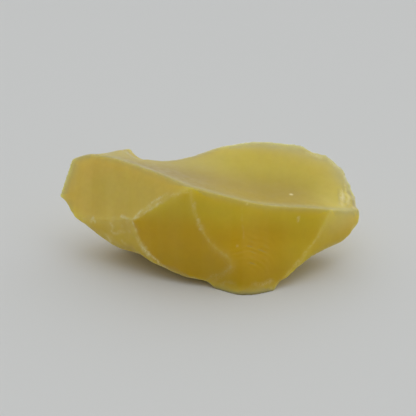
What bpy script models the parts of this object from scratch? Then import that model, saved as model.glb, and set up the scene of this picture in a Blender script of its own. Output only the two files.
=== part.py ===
"""A raw yellow opal: one waxy lump of common opal, broken on every side by shell-like fractures.

The lump is made the way it broke. A block is split by one smooth fracture sheet after another, each laid
through the named corners that the break runs through, and small spalls are then struck off the thin rim,
the back and the underside.
"""

import math

import bmesh
import bpy
import numpy as np
from mathutils import Matrix, Vector

MM = 0.001

# Driving dimensions. Each corner is a place on the stone in mm: x to the right, y to the back, z up from
# the table. MIDDLE is the middle of the stone's footprint box, which becomes the origin.
MIDDLE = (0.04, -1.52, 0.0)
HEART = (0.0, -1.0, 8.0)
BLOCK = (60.0, 40.0, 40.0)
SHEET_SIZE = 64.0
SHEET_CELL = 1.0
SHEET_DEPTH = 40.0
SHELL_DIVISIONS = 4

CORNERS = {
    # the long brow where the top meets the two front faces, from left to right
    "left_shoulder": (-20.6, 5.3, 14.0),
    "crown": (-17.5, 4.0, 15.4),
    "crown_foot": (-15.4, 2.7, 15.7),
    "brow_left": (-13.6, 1.4, 15.7),
    "brow_high": (-10.3, -1.0, 15.6),
    "brow_bend": (-6.7, -3.8, 15.4),
    "brow": (-2.5, -7.2, 14.9),
    "brow_fall": (3.3, -6.7, 13.2),
    "brow_sag": (8.6, -6.2, 11.7),
    "brow_right": (14.9, -5.3, 10.8),
    "knuckle": (17.9, -4.9, 10.3),
    # the left front face and the chipped face under it
    "left_point": (-22.6, 3.1, 8.9),
    "left_nick": (-21.2, 1.5, 8.0),
    "left_heel": (-20.1, -0.1, 6.9),
    "cheek": (-14.6, -0.3, 11.6),
    "elbow": (-11.2, -5.3, 8.7),
    "elbow_low": (-8.2, -7.0, 2.7),
    "jowl_left": (-17.7, -1.5, 5.7),
    "jowl": (-13.1, -4.1, 3.5),
    "jowl_right": (-10.2, -5.8, 3.5),
    # the ridge between the two steep front faces
    "shin_high": (-2.3, -7.7, 11.7),
    "shin": (-1.5, -8.1, 10.1),
    "shin_low": (0.8, -9.2, 6.6),
    "knee": (3.3, -10.3, 4.4),
    "ankle": (2.3, -10.2, 2.9),
    "keel_right": (0.2, -9.8, 0.8),
    "keel_mid": (-2.9, -8.8, 1.3),
    "keel_left": (-6.3, -7.6, 2.1),
    "clear_of_tip": (6.0, -13.4, 0.5),
    # the right front face, down to the tip that the stone stands on
    "front_hollow": (9.1, -7.2, 7.8),
    "tip_left": (1.1, -10.1, 0.0),
    "tip": (4.7, -11.9, 0.0),
    "tip_right": (9.5, -10.6, 0.0),
    "low_ridge": (15.5, -6.8, 6.1),
    "low_heel": (10.5, -10.1, 1.2),
    # the overhanging right end
    "right_edge": (22.8, -0.3, 7.1),
    "right_nose": (22.6, -0.2, 6.1),
    "right_chin": (21.8, -0.9, 5.2),
    "right_corner": (21.0, -1.6, 4.4),
    "right_low": (17.5, -4.4, 3.8),
    "right_lower": (13.9, -7.3, 3.0),
    "right_lowest": (11.5, -9.2, 1.5),
    # the thin rim round the right and back of the dished top
    "rim_end": (22.4, -0.8, 8.5),
    "rim_nick": (21.9, 0.0, 9.0),
    "rim_lobe": (22.1, 1.4, 9.9),
    "rim_corner": (21.8, 3.0, 10.9),
    "rim_side": (20.4, 5.7, 12.4),
    "rim_back_right": (18.0, 7.5, 13.9),
    "rim_behind": (14.3, 8.4, 15.1),
    "rim_back": (7.1, 8.5, 15.7),
    "rim_back_left": (2.0, 8.1, 14.7),
    "bump": (-12.5, 8.0, 14.7),
    "bump_left": (-14.0, 5.8, 15.2),
    "lip_left": (-8.6, 1.4, 14.75),
    "lip_middle": (-2.7, -0.5, 13.75),
    "lip_sag": (8.2, -1.9, 11.6),
    "lip_right": (16.4, -3.2, 10.4),
    "dish_left": (-4.0, 1.0, 14.0),
    "dish": (7.0, 0.0, 12.2),
    "dish_right": (14.5, 1.0, 11.3),
    # the breaks in the back rim, either side of the bump
    "crown_back": (-18.0, 8.5, 11.5),
    "notch_top": (-12.0, 8.2, 14.5),
    "notch_left": (-11.35, 6.3, 14.1),
    "notch_foot": (-10.9, 5.5, 14.0),
    "notch_flat": (-9.2, 4.9, 14.1),
    "notch_mid": (-7.4, 4.4, 14.1),
    "notch_right": (-2.5, 6.2, 14.3),
    "notch_end": (1.5, 8.3, 14.8),
    "notch_low": (-6.0, 9.5, 8.0),
    # the back and the underside
    "back_left_low": (-13.5, 6.6, 1.3),
    "back_low": (-2.0, 7.6, 0.7),
    "back_hollow": (-8.0, 8.6, 7.5),
    "back_right_low": (10.0, 5.2, 0.9),
    "back_right_hollow": (13.0, 5.2, 7.2),
    "rest_left": (-5.0, 2.0, 0.0),
    "rest_right": (8.0, 1.0, 0.0),
    "under_left": (-12.0, 5.0, 1.1),
    "foot_left": (-6.5, 1.0, 0.1),
    "clear_of_floor": (9.0, -9.0, -4.5),
    "foot_right": (9.6, -4.0, 0.0),
    "under_right": (16.5, 3.2, 2.6),
}

# Each fracture sheet and the corners that it runs through: three make it flat, more make it shell-like.
FRACTURES = {
    "top": ("crown", "brow_left", "brow_high", "brow_bend", "brow", "brow_fall", "brow_sag", "brow_right",
        "knuckle", "rim_end", "rim_nick", "rim_lobe", "rim_corner", "rim_side", "rim_back_right", "rim_behind",
        "rim_back", "rim_back_left", "bump", "bump_left", "lip_left", "lip_middle", "lip_sag", "lip_right",
        "dish_left", "dish", "dish_right"),
    "left_front": ("crown", "left_point", "left_heel", "elbow", "brow", "cheek"),
    "jowl": ("elbow", "elbow_low", "left_heel"),
    "middle_front": ("brow", "shin_low", "knee", "ankle", "keel_right", "keel_mid", "keel_left", "elbow_low",
        "elbow", "clear_of_tip"),
    "right_front": ("brow", "shin_high", "shin", "shin_low", "knee", "ankle", "tip_left", "tip", "tip_right",
        "low_ridge", "knuckle", "brow_sag", "front_hollow"),
    "right_low": ("knuckle", "rim_end", "low_heel", "low_ridge"),
    "right_end": ("rim_corner", "rim_lobe", "rim_nick", "rim_end", "right_edge", "right_nose"),
    "rest": ("tip_left", "rest_left", "rest_right"),
    "left_under": ("keel_right", "keel_mid", "keel_left", "elbow_low", "jowl_right", "jowl", "jowl_left",
        "left_heel", "left_nick", "left_point", "under_left", "foot_left", "tip_left", "clear_of_floor"),
    "right_under": ("tip_right", "low_heel", "right_lowest", "right_lower", "right_low", "right_corner",
        "right_chin", "right_nose", "right_edge", "foot_right", "under_right"),
    "crown_back": ("left_shoulder", "crown", "crown_foot", "bump_left", "notch_top", "crown_back"),
    "left_back": ("left_shoulder", "left_point", "bump", "back_left_low"),
    "notch": ("notch_top", "notch_left", "notch_foot", "notch_flat", "notch_mid", "notch_right", "notch_end",
        "notch_low"),
    "back": ("back_left_low", "back_low", "bump", "rim_back", "back_hollow"),
    "right_back": ("rim_back", "rim_behind", "rim_back_right", "rim_side", "rim_corner", "back_right_low",
        "back_right_hollow"),
}

# Each spall: the place it is struck off, the way its scar faces (degrees round from the right towards the
# back, and degrees up), the radius of its shell and how deep it goes.
SPALLS = {
    "rim_chip_end": ((22.3, -0.5, 8.7), -15.0, 60.0, 1.6, 0.16),
    "rim_chip_long": ((21.7, 1.2, 9.85), -35.0, 60.0, 4.5, 0.15),
    "rim_chip_lobe": ((21.3, 4.1, 11.45), -20.0, 68.0, 4.5, 0.07),
    "rim_chip_side": ((19.5, 6.7, 13.1), 50.0, 70.0, 2.2, 0.14),
    "rim_chip_behind": ((16.4, 8.0, 14.4), 65.0, 75.0, 2.6, 0.14),
    "rim_chip_back": ((12.2, 8.5, 15.4), 85.0, 70.0, 2.5, 0.1),
    "bump_chip": ((-11.8, 8.3, 14.3), 15.0, 25.0, 4.0, 0.1),
    "back_scar": ((-4.5, 6.4, 1.6), 98.0, -35.0, 11.0, 1.0),
    "back_left_scar": ((-15.5, 6.0, 4.6), 125.0, -40.0, 8.0, 1.0),
    "back_right_scar": ((12.5, 4.6, 3.6), 65.0, -45.0, 9.0, 1.0),
    "under_right_scar": ((20.2, 3.0, 6.2), 30.0, -55.0, 6.0, 0.5),
}

OPAL_YELLOW = (0.42, 0.32, 0.06, 1.0)


def clear_scene():
    for obj in list(bpy.data.objects):
        bpy.data.objects.remove(obj, do_unlink=True)


def collection(name):
    made = bpy.data.collections.new(name)
    bpy.context.scene.collection.children.link(made)
    return made


def bend_of(distance):
    """The thin-plate kernel: how a stiff sheet pushed up at one point bends at a distance from it."""
    return distance**2 * np.log(np.maximum(distance, 1e-9))


class Sheet:
    """A smooth fracture sheet through some corners, with its own axes: x and y in it, z out of the stone."""

    def __init__(self, corners):
        points = np.array([CORNERS[name] for name in corners])
        self.middle = points.mean(axis=0)
        spread = np.linalg.svd(points - self.middle)[2]
        outward = spread[2]
        if outward @ (self.middle - np.array(HEART)) < 0:
            outward = -outward
        along = spread[0]
        self.axes = np.stack([along, np.cross(outward, along), outward])
        local = (points - self.middle) @ self.axes.T
        self.knots = local[:, :2]
        gaps = np.linalg.norm(self.knots[:, None] - self.knots[None], axis=2)
        flat = np.column_stack([np.ones(len(points)), self.knots])
        bending = np.block([[bend_of(gaps), flat], [flat.T, np.zeros((3, 3))]])
        self.weights = np.linalg.lstsq(bending, np.append(local[:, 2], np.zeros(3)), rcond=None)[0]

    def height(self, places):
        """How far the sheet stands out of its mean plane at places in that plane."""
        gaps = np.linalg.norm(places[:, None] - self.knots[None], axis=2)
        flat = np.column_stack([np.ones(len(places)), places])
        return np.column_stack([bend_of(gaps), flat]) @ self.weights

    def matrix(self):
        axes = Matrix([list(axis) for axis in self.axes]).transposed().to_4x4()
        return Matrix.Translation(Vector(self.middle) * MM) @ axes


def cutter_object(name, shape, matrix, cutters):
    """The shape, drawn in mm, as a hidden object that cuts the stone."""
    bmesh.ops.triangulate(shape, faces=shape.faces)
    bmesh.ops.scale(shape, vec=(MM, MM, MM), verts=shape.verts)
    mesh = bpy.data.meshes.new(name)
    shape.to_mesh(mesh)
    shape.free()
    cutter = bpy.data.objects.new(name, mesh)
    cutter.matrix_world = matrix
    cutter.hide_render = True
    cutter.display_type = "WIRE"
    cutters.objects.link(cutter)
    return cutter


def fracture_cutter(name, corners, cutters):
    """A block whose underside is the fracture sheet: all that it covers breaks away."""
    sheet = Sheet(corners)
    cells = 1 if len(corners) == 3 else round(SHEET_SIZE / SHEET_CELL)
    shape = bmesh.new()
    bmesh.ops.create_grid(shape, x_segments=cells, y_segments=cells, size=SHEET_SIZE / 2)
    places = np.array([vert.co[:2] for vert in shape.verts])
    for vert, height in zip(shape.verts, sheet.height(places)):
        vert.co.z = height
    grown = bmesh.ops.extrude_face_region(shape, geom=shape.faces[:])
    for element in grown["geom"]:
        if isinstance(element, bmesh.types.BMVert):
            element.co.z = SHEET_DEPTH
    bmesh.ops.recalc_face_normals(shape, faces=shape.faces)
    return cutter_object(name, shape, sheet.matrix(), cutters)


def spall_cutter(name, place, heading, tilt, radius, bite, cutters):
    """A ball that bites the stone at a place, from the side that the scar faces."""
    heading, tilt = math.radians(heading), math.radians(tilt)
    facing = Vector((math.cos(heading) * math.cos(tilt), math.sin(heading) * math.cos(tilt), math.sin(tilt)))
    shape = bmesh.new()
    bmesh.ops.create_icosphere(shape, subdivisions=SHELL_DIVISIONS, radius=radius)
    middle = Vector(place) + facing * (radius - bite)
    return cutter_object(name, shape, Matrix.Translation(middle * MM), cutters)


def opal_material():
    material = bpy.data.materials.new("waxy yellow opal")
    material.use_nodes = True
    wax = material.node_tree.nodes["Principled BSDF"]
    wax.inputs["Base Color"].default_value = OPAL_YELLOW
    wax.inputs["Roughness"].default_value = 0.35
    wax.inputs["Metallic"].default_value = 0.0
    wax.inputs["IOR"].default_value = 1.45
    return material


def opal_block(stones):
    bpy.ops.mesh.primitive_cube_add(size=1.0)
    stone = bpy.context.active_object
    stone.name = "opal"
    stone.data.name = "opal"
    stone.data.transform(Matrix.Diagonal((*[side * MM for side in BLOCK], 1.0)))
    stone.data.transform(Matrix.Translation(Vector(HEART) * MM))
    for owner in list(stone.users_collection):
        owner.objects.unlink(stone)
    stones.objects.link(stone)
    return stone


def break_off(stone, cutters):
    """Cuts the stone with each cutter in turn and keeps the mesh that is left."""
    for cutter in cutters:
        split = stone.modifiers.new(cutter.name, "BOOLEAN")
        split.operation = "DIFFERENCE"
        split.solver = "EXACT"
        split.object = cutter
    bpy.context.view_layer.update()
    broken = stone.evaluated_get(bpy.context.evaluated_depsgraph_get())
    mesh = bpy.data.meshes.new_from_object(broken)
    stone.modifiers.clear()
    stone.data = mesh


def opal(stones, cutters):
    stone = opal_block(stones)
    sheets = [fracture_cutter(name, corners, cutters) for name, corners in FRACTURES.items()]
    shells = [spall_cutter(name, *spall, cutters) for name, spall in SPALLS.items()]
    break_off(stone, sheets + shells)
    stone.data.materials.clear()
    stone.data.materials.append(opal_material())
    stone.data.shade_smooth()
    stone.data.set_sharp_from_angle(angle=math.radians(20.0))
    stone.location = -Vector(MIDDLE) * MM
    return stone


def main():
    clear_scene()
    opal(collection("raw yellow opal"), collection("fracture cutters"))


main()
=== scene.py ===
"""The looks of a raw yellow opal: a waxy lump with a dished top, curved breaks and chipped edges.

The stone is shaped by the same fracture sheets as its solid, on a much finer mesh. Its ridges are then worn a
little, small chips are struck off them, and faint ripples and swells are added to the breaks.
"""

import math

import bpy
import numpy as np
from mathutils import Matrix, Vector
from mathutils.bvhtree import BVHTree


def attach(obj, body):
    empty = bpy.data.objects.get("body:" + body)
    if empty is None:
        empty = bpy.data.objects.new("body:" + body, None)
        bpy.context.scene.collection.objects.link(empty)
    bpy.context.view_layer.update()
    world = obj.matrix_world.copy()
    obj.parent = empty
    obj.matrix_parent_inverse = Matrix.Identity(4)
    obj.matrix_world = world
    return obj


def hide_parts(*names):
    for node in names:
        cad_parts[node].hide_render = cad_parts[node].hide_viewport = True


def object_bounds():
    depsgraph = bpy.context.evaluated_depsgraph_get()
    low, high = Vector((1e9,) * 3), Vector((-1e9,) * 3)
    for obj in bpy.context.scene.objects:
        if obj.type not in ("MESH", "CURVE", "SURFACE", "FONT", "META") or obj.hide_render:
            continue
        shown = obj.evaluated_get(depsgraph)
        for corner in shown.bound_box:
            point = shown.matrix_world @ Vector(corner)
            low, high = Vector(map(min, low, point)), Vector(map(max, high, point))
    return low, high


bl_info = {
    "name": "Raw Yellow Opal",
    "version": (1, 0, 0),
    "blender": (4, 5, 0),
    "location": "View3D > Sidebar > Opal",
    "description": "Builds a raw yellow opal with its waxy finish, and a plain stage to look at it on",
    "category": "Add Mesh",
}

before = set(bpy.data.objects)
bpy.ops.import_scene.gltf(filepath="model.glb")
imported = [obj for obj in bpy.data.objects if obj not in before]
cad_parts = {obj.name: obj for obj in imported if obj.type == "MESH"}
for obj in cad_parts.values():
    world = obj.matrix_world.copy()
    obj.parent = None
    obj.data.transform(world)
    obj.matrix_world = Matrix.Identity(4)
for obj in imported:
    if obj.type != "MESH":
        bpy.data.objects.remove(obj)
CAD_BOX = [list(corner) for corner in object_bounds()]

MM = 0.001
SEED = 7

# Keeps logarithms and divisions away from nothing.
TINY = 1e-9

# The corners are in mm: x to the right, y to the back, z up from the table. MIDDLE is the middle of the
# stone's footprint box, which is the origin of the frame. HEART is a point deep in the stone, and every
# break faces away from it.
MIDDLE = np.array([0.04, -1.52, 0.0])
HEART = np.array([0.0, -1.0, 8.0])

CORNERS = {
    # the long brow where the top meets the two front faces, from left to right
    "left_shoulder": (-20.6, 5.3, 14.0),
    "crown": (-17.5, 4.0, 15.4),
    "crown_foot": (-15.4, 2.7, 15.7),
    "brow_left": (-13.6, 1.4, 15.7),
    "brow_high": (-10.3, -1.0, 15.6),
    "brow_bend": (-6.7, -3.8, 15.4),
    "brow": (-2.5, -7.2, 14.9),
    "brow_fall": (3.3, -6.7, 13.2),
    "brow_sag": (8.6, -6.2, 11.7),
    "brow_right": (14.9, -5.3, 10.8),
    "knuckle": (17.9, -4.9, 10.3),
    # the left front face and the chipped face under it
    "left_point": (-22.6, 3.1, 8.9),
    "left_nick": (-21.2, 1.5, 8.0),
    "left_heel": (-20.1, -0.1, 6.9),
    "cheek": (-14.6, -0.3, 11.6),
    "elbow": (-11.2, -5.3, 8.7),
    "elbow_low": (-8.2, -7.0, 2.7),
    "jowl_left": (-17.7, -1.5, 5.7),
    "jowl": (-13.1, -4.1, 3.5),
    "jowl_right": (-10.2, -5.8, 3.5),
    # the ridge between the two steep front faces
    "shin_high": (-2.3, -7.7, 11.7),
    "shin": (-1.5, -8.1, 10.1),
    "shin_low": (0.8, -9.2, 6.6),
    "knee": (3.3, -10.3, 4.4),
    "ankle": (2.3, -10.2, 2.9),
    "keel_right": (0.2, -9.8, 0.8),
    "keel_mid": (-2.9, -8.8, 1.3),
    "keel_left": (-6.3, -7.6, 2.1),
    "clear_of_tip": (6.0, -13.4, 0.5),
    # the right front face, down to the tip that the stone stands on
    "front_hollow": (9.1, -7.2, 7.8),
    "tip_left": (1.1, -10.1, 0.0),
    "tip": (4.7, -11.9, 0.0),
    "tip_right": (9.5, -10.6, 0.0),
    "low_ridge": (15.5, -6.8, 6.1),
    "low_heel": (10.5, -10.1, 1.2),
    # the overhanging right end
    "right_edge": (22.8, -0.3, 7.1),
    "right_nose": (22.6, -0.2, 6.1),
    "right_chin": (21.8, -0.9, 5.2),
    "right_corner": (21.0, -1.6, 4.4),
    "right_low": (17.5, -4.4, 3.8),
    "right_lower": (13.9, -7.3, 3.0),
    "right_lowest": (11.5, -9.2, 1.5),
    # the thin rim round the right and back of the dished top
    "rim_end": (22.4, -0.8, 8.5),
    "rim_nick": (21.9, 0.0, 9.0),
    "rim_lobe": (22.1, 1.4, 9.9),
    "rim_corner": (21.8, 3.0, 10.9),
    "rim_side": (20.4, 5.7, 12.4),
    "rim_back_right": (18.0, 7.5, 13.9),
    "rim_behind": (14.3, 8.4, 15.1),
    "rim_back": (7.1, 8.5, 15.7),
    "rim_back_left": (2.0, 8.1, 14.7),
    "bump": (-12.5, 8.0, 14.7),
    "bump_left": (-14.0, 5.8, 15.2),
    "lip_left": (-8.6, 1.4, 14.75),
    "lip_middle": (-2.7, -0.5, 13.75),
    "lip_sag": (8.2, -1.9, 11.6),
    "lip_right": (16.4, -3.2, 10.4),
    "dish_left": (-4.0, 1.0, 14.0),
    "dish": (7.0, 0.0, 12.2),
    "dish_right": (14.5, 1.0, 11.3),
    # the breaks in the back rim, either side of the bump
    "crown_back": (-18.0, 8.5, 11.5),
    "notch_top": (-12.0, 8.2, 14.5),
    "notch_left": (-11.35, 6.3, 14.1),
    "notch_foot": (-10.9, 5.5, 14.0),
    "notch_flat": (-9.2, 4.9, 14.1),
    "notch_mid": (-7.4, 4.4, 14.1),
    "notch_right": (-2.5, 6.2, 14.3),
    "notch_end": (1.5, 8.3, 14.8),
    "notch_low": (-6.0, 9.5, 8.0),
    # the back and the underside
    "back_left_low": (-13.5, 6.6, 1.3),
    "back_low": (-2.0, 7.6, 0.7),
    "back_hollow": (-8.0, 8.6, 7.5),
    "back_right_low": (10.0, 5.2, 0.9),
    "back_right_hollow": (13.0, 5.2, 7.2),
    "rest_left": (-5.0, 2.0, 0.0),
    "rest_right": (8.0, 1.0, 0.0),
    "under_left": (-12.0, 5.0, 1.1),
    "foot_left": (-6.5, 1.0, 0.1),
    "clear_of_floor": (9.0, -9.0, -4.5),
    "foot_right": (9.6, -4.0, 0.0),
    "under_right": (16.5, 3.2, 2.6),
}

# Each fracture sheet and the corners that it runs through.
FRACTURES = {
    "top": ("crown", "brow_left", "brow_high", "brow_bend", "brow", "brow_fall", "brow_sag", "brow_right",
        "knuckle", "rim_end", "rim_nick", "rim_lobe", "rim_corner", "rim_side", "rim_back_right",
        "rim_behind", "rim_back", "rim_back_left", "bump", "bump_left", "lip_left", "lip_middle", "lip_sag",
        "lip_right", "dish_left", "dish", "dish_right"),
    "left_front": ("crown", "left_point", "left_heel", "elbow", "brow", "cheek"),
    "jowl": ("elbow", "elbow_low", "left_heel"),
    "middle_front": ("brow", "shin_low", "knee", "ankle", "keel_right", "keel_mid", "keel_left", "elbow_low",
        "elbow", "clear_of_tip"),
    "right_front": ("brow", "shin_high", "shin", "shin_low", "knee", "ankle", "tip_left", "tip", "tip_right",
        "low_ridge", "knuckle", "brow_sag", "front_hollow"),
    "right_low": ("knuckle", "rim_end", "low_heel", "low_ridge"),
    "right_end": ("rim_corner", "rim_lobe", "rim_nick", "rim_end", "right_edge", "right_nose"),
    "rest": ("tip_left", "rest_left", "rest_right"),
    "left_under": ("keel_right", "keel_mid", "keel_left", "elbow_low", "jowl_right", "jowl", "jowl_left",
        "left_heel", "left_nick", "left_point", "under_left", "foot_left", "tip_left", "clear_of_floor"),
    "right_under": ("tip_right", "low_heel", "right_lowest", "right_lower", "right_low", "right_corner",
        "right_chin", "right_nose", "right_edge", "foot_right", "under_right"),
    "crown_back": ("left_shoulder", "crown", "crown_foot", "bump_left", "notch_top", "crown_back"),
    "left_back": ("left_shoulder", "left_point", "bump", "back_left_low"),
    "notch": ("notch_top", "notch_left", "notch_foot", "notch_flat", "notch_mid", "notch_right", "notch_end",
        "notch_low"),
    "back": ("back_left_low", "back_low", "bump", "rim_back", "back_hollow"),
    "right_back": ("rim_back", "rim_behind", "rim_back_right", "rim_side", "rim_corner", "back_right_low",
        "back_right_hollow"),
}

# Each spall: the place it is struck off, the way its scar faces (degrees round from the right towards the
# back, and degrees up), the radius of its shell and how deep it goes.
SPALLS = {
    "rim_chip_end": ((22.3, -0.5, 8.7), -15.0, 60.0, 1.6, 0.16),
    "rim_chip_long": ((21.7, 1.2, 9.85), -35.0, 60.0, 4.5, 0.15),
    "rim_chip_lobe": ((21.3, 4.1, 11.45), -20.0, 68.0, 4.5, 0.07),
    "rim_chip_side": ((19.5, 6.7, 13.1), 50.0, 70.0, 2.2, 0.14),
    "rim_chip_behind": ((16.4, 8.0, 14.4), 65.0, 75.0, 2.6, 0.14),
    "rim_chip_back": ((12.2, 8.5, 15.4), 85.0, 70.0, 2.5, 0.1),
    "bump_chip": ((-11.8, 8.3, 14.3), 15.0, 25.0, 4.0, 0.1),
    "back_scar": ((-4.5, 6.4, 1.6), 98.0, -35.0, 11.0, 1.0),
    "back_left_scar": ((-15.5, 6.0, 4.6), 125.0, -40.0, 8.0, 1.0),
    "back_right_scar": ((12.5, 4.6, 3.6), 65.0, -45.0, 9.0, 1.0),
    "under_right_scar": ((20.2, 3.0, 6.2), 30.0, -55.0, 6.0, 0.5),
}

# Shallow scars too small for the solid, in the same form: on the chipped left face, along the ridges and
# round the right end.
SCARS = {
    "heel_scar": ((-17.3, -1.8, 7.1), -122.0, 14.0, 4.0, 0.12),
    "jowl_scar_left": ((-15.6, -2.9, 5.4), -126.0, -4.0, 8.0, 0.16),
    "jowl_scar_mid": ((-12.9, -4.3, 6.7), -112.0, 8.0, 7.0, 0.13),
    "jowl_scar_low": ((-12.2, -4.7, 4.4), -118.0, -14.0, 6.0, 0.14),
    "elbow_scar": ((-10.6, -5.6, 7.0), -112.0, 6.0, 5.0, 0.09),
    "ridge_scar_low": ((-9.6, -5.5, 10.0), -118.0, 26.0, 7.0, 0.09),
    "ridge_scar_high": ((-6.6, -6.1, 12.2), -118.0, 26.0, 9.0, 0.09),
    "end_scar_low": ((21.7, -0.9, 8.9), -50.0, 60.0, 2.2, 0.12),
    "end_scar_lobe": ((21.2, 1.0, 9.8), -10.0, 52.0, 3.2, 0.1),
    "end_scar_side": ((21.0, 3.4, 11.2), -15.0, 52.0, 4.2, 0.11),
    "end_scar_high": ((20.0, 5.6, 12.5), 10.0, 58.0, 4.5, 0.09),
    "rim_notch_high": ((20.75, 5.1, 12.15), 0.0, 15.0, 0.6, 0.16),
    "rim_notch_side": ((21.65, 2.4, 10.6), 0.0, 15.0, 0.6, 0.16),
    "rim_notch_low": ((21.95, -0.1, 9.1), 0.0, 15.0, 0.8, 0.2),
    "end_scar_behind": ((16.8, 7.3, 14.1), 60.0, 58.0, 5.0, 0.08),
}

# The edges of spalls and scars wander this far, over this length, both in mm.
SCAR_WANDER = 0.05
SCAR_LENGTH = 1.3

# Pale flecks, partly painted glints: a place on the surface, the radius in mm and how pale it is.
FLECKS_AND_GLINTS = (
    ((12.3, -1.3, 11.1), 0.26, 1.0),
    ((5.6, -6.8, 12.1), 0.18, 0.35),
    ((4.2, -9.4, 6.7), 0.18, 0.22),
    ((-17.1, -1.7, 7.3), 0.28, 0.35),
    ((-8.4, -5.6, 11.1), 0.24, 0.3),
    ((-1.4, -8.1, 10.2), 0.24, 0.35),
    ((-1.1, -8.35, 8.9), 0.2, 0.35),
    ((20.2, 0.2, 9.8), 0.4, 0.4),
    ((20.5, 0.9, 10.1), 0.35, 0.3),
    ((21.1, 0.6, 9.7), 0.3, 0.3),
)

# The breaks at the front. The ridges between two of them aren't painted dark, but get a soft pale halo, a
# painted highlight.
FRONT_BREAKS = ("left_front", "jowl", "middle_front", "right_front", "right_low")

# The breaks at the left, paler for milkier stone and for painted light from the left.
LEFT_BREAKS = ("left_front", "jowl", "left_back")

# The brow from end to end. The top has a lip along it, greyed with a painted reflection.
BROW = ("brow_left", "brow_high", "brow_bend", "brow", "brow_fall", "brow_sag", "brow_right", "knuckle")

# Pale lines bruised into the stone: the half width of each in mm, how pale it is, and its way over the
# stone.
SCUFFED_LINES = (
    (0.15, 0.95, ((-11.1, -5.2, 8.9), (-10.0, -5.6, 9.5), (-9.0, -5.7, 10.3), (-7.7, -5.9, 11.3),
        (-6.8, -6.0, 12.1))),
    (0.13, 0.5, ((-6.8, -6.0, 12.1), (-5.6, -6.3, 13.1), (-4.3, -6.7, 13.7), (-2.8, -7.2, 14.2))),
    (0.15, 0.9, ((-10.9, -5.2, 9.0), (-9.7, -5.2, 10.2), (-8.8, -5.3, 11.0), (-7.9, -5.4, 11.8),
        (-7.2, -5.5, 12.3), (-6.5, -5.7, 12.8))),
    (0.35, 0.35, ((-10.4, -5.3, 9.5), (-9.2, -5.4, 10.6), (-8.2, -5.5, 11.4), (-7.0, -5.7, 12.4),
        (-5.9, -5.9, 13.2))),
    (0.16, 0.85, ((-12.8, -3.9, 8.8), (-11.9, -4.6, 8.8), (-11.1, -5.2, 8.9))),
    (0.14, 0.3, ((-17.0, -1.8, 7.3), (-15.4, -2.7, 7.8), (-14.2, -3.3, 8.3), (-12.8, -3.9, 8.8))),
    (0.16, 0.95, ((-11.1, -5.3, 8.7), (-10.6, -5.6, 7.5), (-10.4, -5.7, 6.3), (-9.9, -6.0, 5.6),
        (-9.5, -6.2, 4.7), (-8.8, -6.6, 4.2), (-7.9, -7.0, 3.5), (-6.9, -7.3, 2.6), (-5.8, -7.7, 2.0))),
    (0.3, 0.75, ((-10.3, -5.8, 6.2), (-9.8, -6.1, 5.3), (-9.4, -6.3, 4.6), (-8.8, -6.6, 4.0))),
    (0.24, 0.8, ((-13.8, -3.7, 5.9), (-13.3, -4.1, 6.2), (-12.4, -4.6, 6.7))),
    (0.24, 0.7, ((-12.7, -4.4, 7.3), (-12.2, -4.7, 7.1), (-11.6, -5.0, 6.8))),
    (0.24, 0.8, ((-12.7, -4.4, 5.0), (-12.0, -4.8, 4.4))),
    (0.22, 0.7, ((-15.2, -2.9, 5.3), (-14.7, -3.2, 4.7), (-14.4, -3.4, 4.2))),
    (0.22, 0.7, ((-14.4, -3.4, 7.4), (-14.1, -3.6, 6.9), (-14.3, -3.5, 6.2))),
    (0.3, 0.35, ((-15.8, -2.6, 5.6), (-14.6, -3.3, 5.0), (-13.4, -4.0, 4.2))),
    (0.24, 1.0, ((-17.4, -1.7, 6.9), (-17.1, -1.7, 7.5), (-16.8, -2.0, 7.0))),
    (0.14, 0.36, ((-2.1, -7.5, 12.6), (-1.5, -8.0, 10.5), (-0.7, -8.5, 8.5), (0.7, -9.2, 6.6))),
    (0.14, 0.22, ((0.7, -9.2, 6.6), (2.6, -9.9, 4.9), (3.4, -10.4, 3.8))),
    (0.3, 0.5, ((-1.3, -8.1, 9.6), (-0.9, -8.3, 8.9))),
    (0.5, 0.15, ((0.7, -9.2, 6.6), (2.6, -9.9, 4.9), (3.4, -10.4, 3.8), (2.3, -10.2, 2.5), (1.0, -9.9, 1.4))),
    (0.3, 0.32, ((1.4, -10.3, 0.3), (3.0, -11.1, 0.25), (4.7, -11.8, 0.25), (7.0, -11.3, 0.25),
        (9.3, -10.6, 0.3))),
    (0.3, 0.35, ((1.9, -10.6, 1.0), (2.6, -10.8, 1.6), (3.6, -11.2, 1.5))),
    (0.3, 0.3, ((6.3, -11.2, 1.5), (7.8, -10.9, 1.2), (9.2, -10.3, 1.5))),
    (0.14, 0.9, ((13.1, -5.8, 9.6), (13.1, -6.0, 9.0))),
    (0.12, 0.12, ((4.8, -7.1, 11.8), (4.9, -7.8, 9.7), (5.2, -8.9, 7.2))),
    (0.14, 0.32, ((17.3, -5.3, 8.5), (16.6, -5.9, 7.2), (15.4, -6.8, 6.0))),
    (0.16, 0.36, ((15.4, -6.8, 6.0), (14.2, -7.5, 4.8), (13.2, -8.1, 3.7), (11.9, -8.9, 2.5),
        (10.9, -9.6, 1.6))),
    (0.3, 0.22, ((5.3, -6.7, 12.6), (7.8, -5.6, 11.8), (11.2, -4.9, 11.2), (13.4, -4.6, 10.9),
        (16.3, -4.1, 10.5), (19.2, -2.7, 9.6))),
    (0.34, 1.0, ((20.1, 1.3, 10.4), (20.0, -0.1, 9.7), (19.9, -1.9, 9.3))),
    (0.42, 0.8, ((20.9, 1.6, 10.4), (21.0, 0.6, 9.8), (20.9, -0.4, 9.2))),
    (0.3, 0.6, ((21.6, -0.9, 8.9), (22.0, -1.0, 8.3))),
    (0.4, 0.5, ((15.3, 6.9, 14.2), (16.3, 7.0, 14.0), (17.2, 6.7, 13.7))),
    (0.35, 0.4, ((18.4, 6.3, 13.3), (19.5, 5.6, 12.6), (20.3, 4.6, 11.9))),
    (0.2, 0.5, ((20.7, 4.3, 11.7), (20.8, 3.4, 11.2), (20.7, 2.5, 10.8))),
)
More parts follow.
